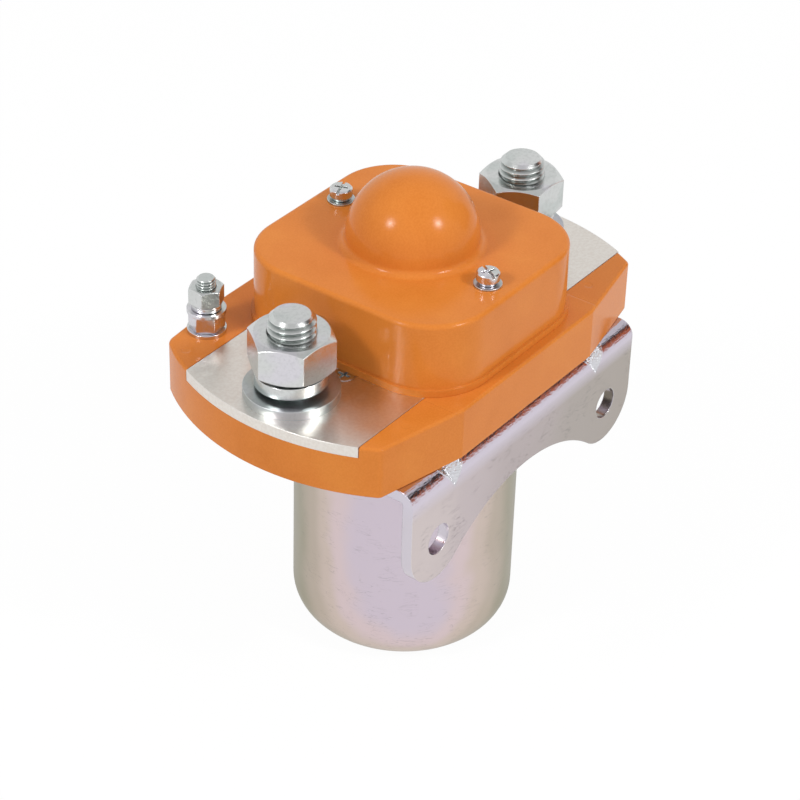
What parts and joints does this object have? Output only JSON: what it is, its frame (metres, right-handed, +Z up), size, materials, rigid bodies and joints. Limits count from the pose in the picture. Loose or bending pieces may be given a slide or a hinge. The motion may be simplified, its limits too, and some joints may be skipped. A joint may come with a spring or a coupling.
{
  "type": "dc contactor",
  "caption": "sealed single-pole DC contactor with a moulded head, threaded stud terminals, a domed cover, an angle mounting bracket and a drawn steel can",
  "frame": {"origin": "centre of the can's flat bottom, on the can's axis", "axes": "+Z up along the can and plunger, +X along the line of the main terminals, +Y towards the coil terminals, so the mounting flange faces -Y"},
  "size_m": [0.1256, 0.0783, 0.1332],
  "materials": {
    "orange_moulding": "glass-filled thermoset, semi-gloss as moulded",
    "zinc_plated_sheet": "drawn or bent steel sheet, zinc-plated and passivated, faint lilac and green tint",
    "tinned_copper": "satin tin plating on copper bar",
    "zinc_plated_fastener": "bright zinc plating with a bluish tint",
    "contact_silver": "silver alloy, satin",
    "magnet_steel": "turned soft iron, nickel-plated",
    "brass_shim": "rolled brass",
    "stainless_steel": "stainless steel, drawn",
    "bobbin_nylon": "natural glass-filled nylon",
    "winding_copper": "enamelled or bare copper",
    "lead_sleeving": "black silicone sleeving",
    "buffer_rubber": "black rubber"
  },
  "bodies": {
    "frame_and_coil": {"base_moulding": "orange_moulding", "cover_moulding": "orange_moulding", "mounting_bracket": "zinc_plated_sheet", "magnet_can": "zinc_plated_sheet", "left_terminal_plate": "tinned_copper", "right_terminal_plate": "tinned_copper", "left_plate_screws": "zinc_plated_fastener", "left_terminal_bolt": "zinc_plated_fastener", "left_terminal_flat_washer": "zinc_plated_fastener", "left_terminal_spring_washer": "zinc_plated_fastener", "left_terminal_nut": "zinc_plated_fastener", "left_coil_stud": "zinc_plated_fastener", "left_coil_base_washer": "zinc_plated_fastener", "left_coil_spring_washer": "zinc_plated_fastener", "left_coil_nut": "zinc_plated_fastener", "right_plate_screws": "zinc_plated_fastener", "right_terminal_bolt": "zinc_plated_fastener", "right_terminal_flat_washer": "zinc_plated_fastener", "right_terminal_spring_washer": "zinc_plated_fastener", "right_terminal_nut": "zinc_plated_fastener", "right_coil_stud": "zinc_plated_fastener", "right_coil_base_washer": "zinc_plated_fastener", "right_coil_spring_washer": "zinc_plated_fastener", "right_coil_nut": "zinc_plated_fastener", "left_coil_lower_nut": "zinc_plated_fastener", "left_coil_top_washer": "zinc_plated_fastener", "front_cover_screw": "zinc_plated_fastener", "front_cover_flat_washer": "zinc_plated_fastener", "front_cover_spring_washer": "zinc_plated_fastener", "rear_cover_screw": "zinc_plated_fastener", "rear_cover_flat_washer": "zinc_plated_fastener", "rear_cover_spring_washer": "zinc_plated_fastener", "base_screws": "zinc_plated_fastener", "left_fixed_tip": "contact_silver", "right_fixed_tip": "contact_silver", "fixed_core": "magnet_steel", "core_shim": "brass_shim", "guide_sleeve": "stainless_steel", "return_spring": "stainless_steel", "coil_bobbin": "bobbin_nylon", "coil_winding": "winding_copper", "left_coil_lead": "lead_sleeving", "right_coil_lead": "lead_sleeving", "plunger_buffer": "buffer_rubber"},
    "bridge": {"contact_bridge": "winding_copper", "left_bridge_tip": "contact_silver", "right_bridge_tip": "contact_silver", "bridge_insulating_washer": "bobbin_nylon"},
    "plunger_and_rod": {"plunger": "magnet_steel", "push_rod": "stainless_steel", "bridge_bush": "bobbin_nylon", "contact_spring": "stainless_steel", "spring_seat": "zinc_plated_fastener", "rod_nut": "zinc_plated_fastener"}
  },
  "joints": [
    {"name": "bridge_travel", "type": "slide", "parent": "frame_and_coil", "child": "bridge", "axis": [0, 0, -1], "range_m": [0, 0.0025], "stiffness_N_per_m": 2400, "springref_m": -0.005, "deforming": ["return_spring"]},
    {"name": "plunger_overtravel", "type": "slide", "parent": "bridge", "child": "plunger_and_rod", "axis": [0, 0, -1], "range_m": [0, 0.001], "stiffness_N_per_m": 5200, "springref_m": -0.003, "deforming": ["contact_spring"]}
  ]
}
